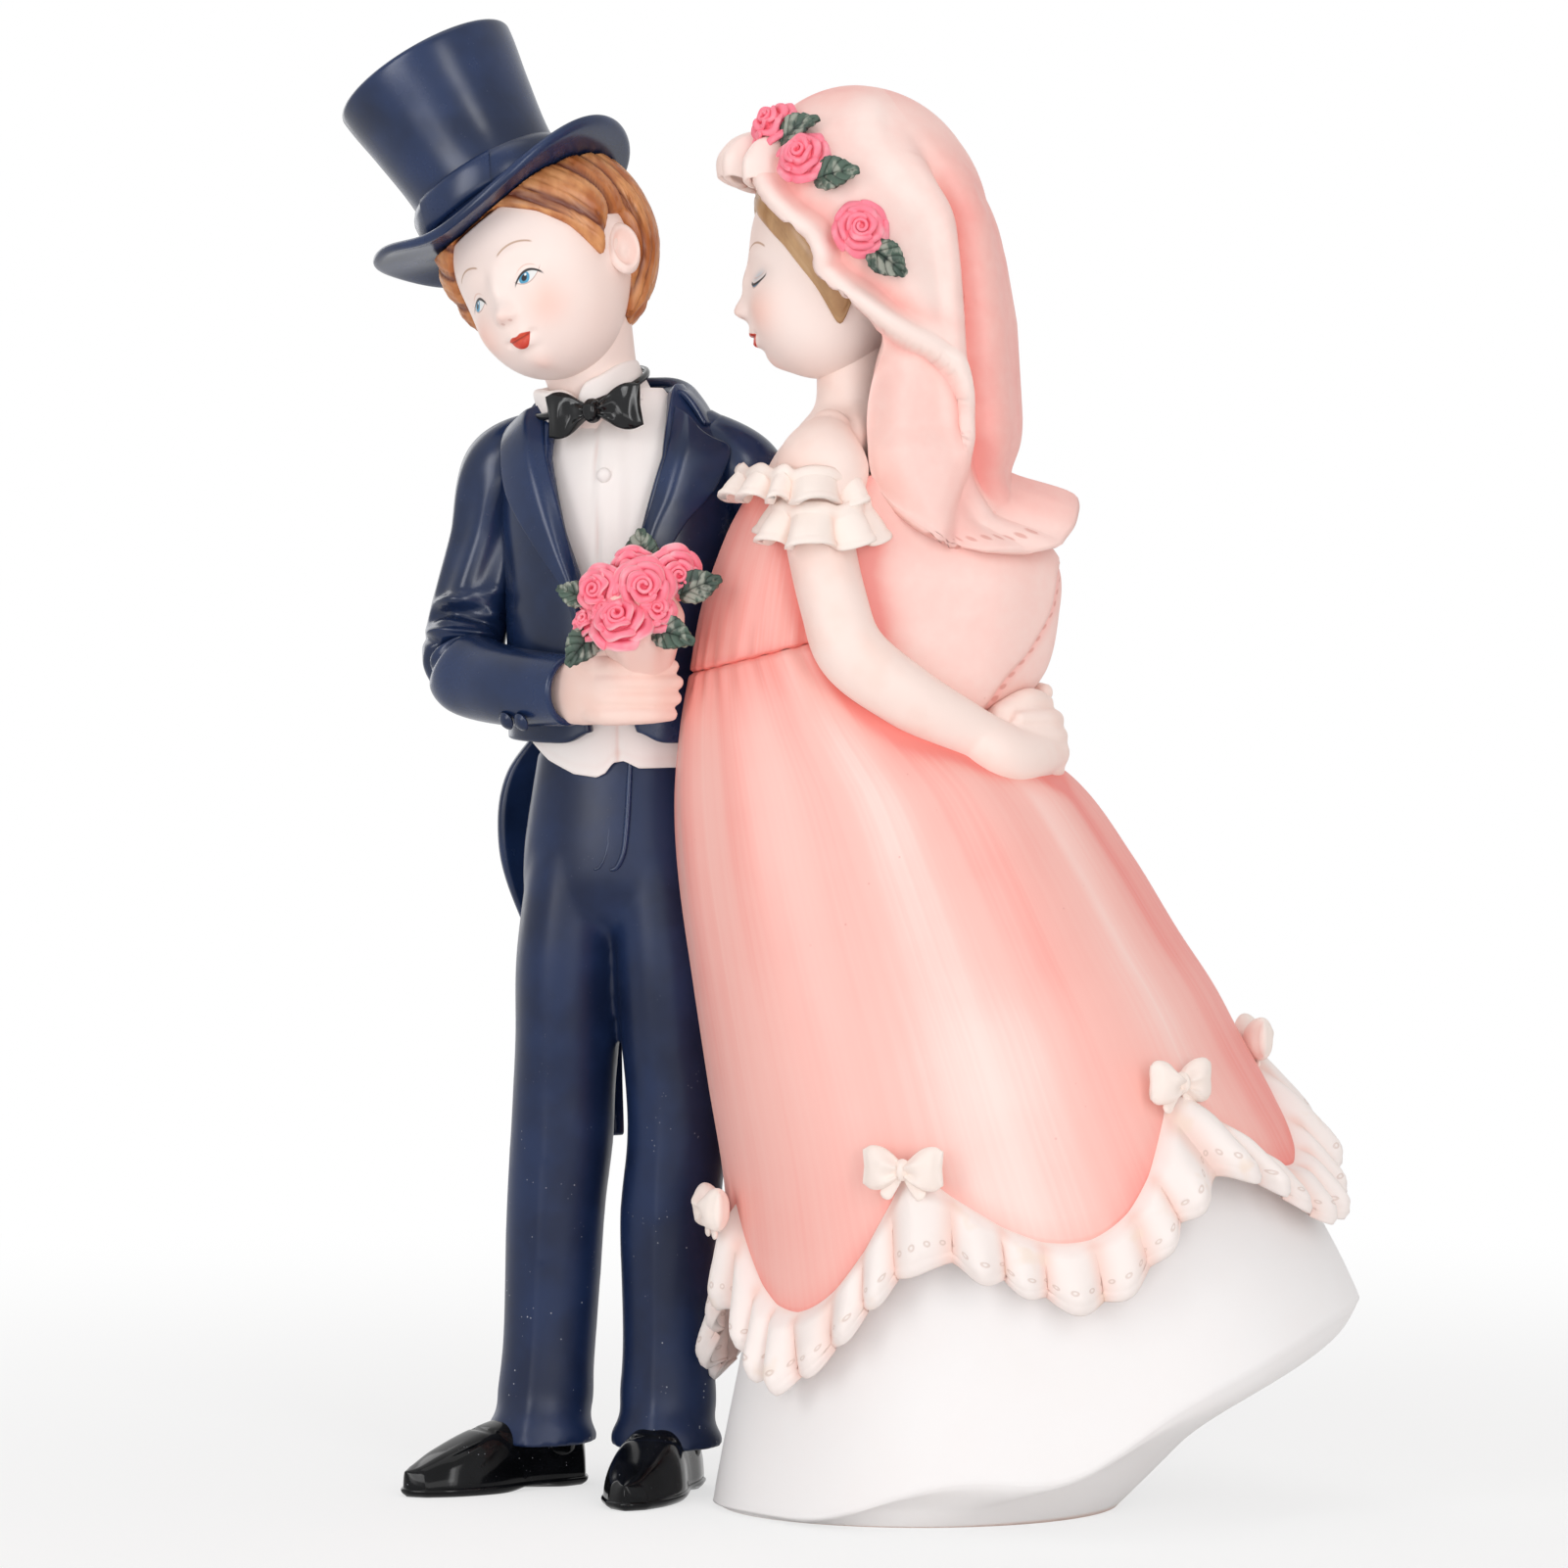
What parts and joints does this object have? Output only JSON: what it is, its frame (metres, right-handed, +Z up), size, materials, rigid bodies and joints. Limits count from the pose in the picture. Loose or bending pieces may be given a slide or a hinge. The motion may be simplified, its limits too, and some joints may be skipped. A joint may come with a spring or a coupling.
{
  "type": "wedding cake topper",
  "caption": "Cast resin wedding cake topper: a boy in a top hat and tailcoat holds a bouquet beside a girl in a long ruffled gown and veil who leans in to him.",
  "frame": {"origin": "on the surface that the topper stands on, under the middle of its box", "axes": "+Z up; -Y towards the viewer that the couple is posed for; +X to that viewer's right, from the boy to the girl"},
  "size_m": [0.1068, 0.0582, 0.1592],
  "materials": {
    "navy_paint": "semi-gloss navy paint over cast resin",
    "black_paint": "gloss black paint over cast resin",
    "skin_paint": "matte pale flesh paint over cast resin",
    "white_paint": "matte white resin",
    "auburn_paint": "satin auburn paint with a dark wash",
    "brown_paint": "matte light brown paint",
    "pink_paint": "coral wash over white resin",
    "pale_pink_paint": "pale coral wash over white resin",
    "rose_paint": "rose pink paint with a darker wash",
    "leaf_paint": "dark green paint with a pale dry brush"
  },
  "bodies": {
    "root": {"boy_coat": "navy_paint", "boy_lapel_left": "navy_paint", "boy_lapel_right": "navy_paint", "boy_coat_tail_left": "navy_paint", "boy_coat_tail_right": "navy_paint", "boy_sleeve_left": "navy_paint", "boy_sleeve_right": "navy_paint", "boy_trousers": "navy_paint", "boy_cuff_button": "navy_paint", "hat_brim": "navy_paint", "hat_band": "navy_paint", "hat_crown": "navy_paint", "boy_bow_tie": "black_paint", "boy_shoe_left": "black_paint", "boy_shoe_right": "black_paint", "boy_head": "skin_paint", "boy_hand_left": "skin_paint", "boy_hand_right": "skin_paint", "girl_head": "skin_paint", "girl_shoulders": "skin_paint", "girl_arm_left": "skin_paint", "girl_arm_right": "skin_paint", "girl_clasped_hands": "skin_paint", "boy_shirt": "white_paint", "boy_shirt_stud": "white_paint", "boy_collar": "white_paint", "boy_waistcoat": "white_paint", "girl_underskirt": "white_paint", "girl_ruffle": "white_paint", "girl_neckline_frill": "white_paint", "girl_sleeve_frill_left": "white_paint", "girl_sleeve_frill_right": "white_paint", "girl_skirt_bow_1": "white_paint", "girl_skirt_bow_2": "white_paint", "girl_skirt_bow_3": "white_paint", "girl_skirt_bow_4": "white_paint", "girl_skirt_bow_5": "white_paint", "girl_skirt_bow_6": "white_paint", "boy_hair": "auburn_paint", "girl_hair": "brown_paint", "girl_overskirt": "pink_paint", "girl_bodice": "pink_paint", "girl_veil_hood": "pale_pink_paint", "girl_veil_train": "pale_pink_paint", "bouquet_wrap": "pale_pink_paint", "bouquet_rose_1": "rose_paint", "bouquet_rose_2": "rose_paint", "bouquet_rose_3": "rose_paint", "bouquet_rose_4": "rose_paint", "girl_veil_rose_1": "rose_paint", "girl_veil_rose_2": "rose_paint", "girl_veil_rose_3": "rose_paint", "bouquet_leaf_1": "leaf_paint", "bouquet_leaf_2": "leaf_paint", "bouquet_leaf_3": "leaf_paint", "bouquet_leaf_4": "leaf_paint", "girl_veil_leaf_1": "leaf_paint", "girl_veil_leaf_2": "leaf_paint", "girl_veil_leaf_3": "leaf_paint"}
  },
  "joints": []
}
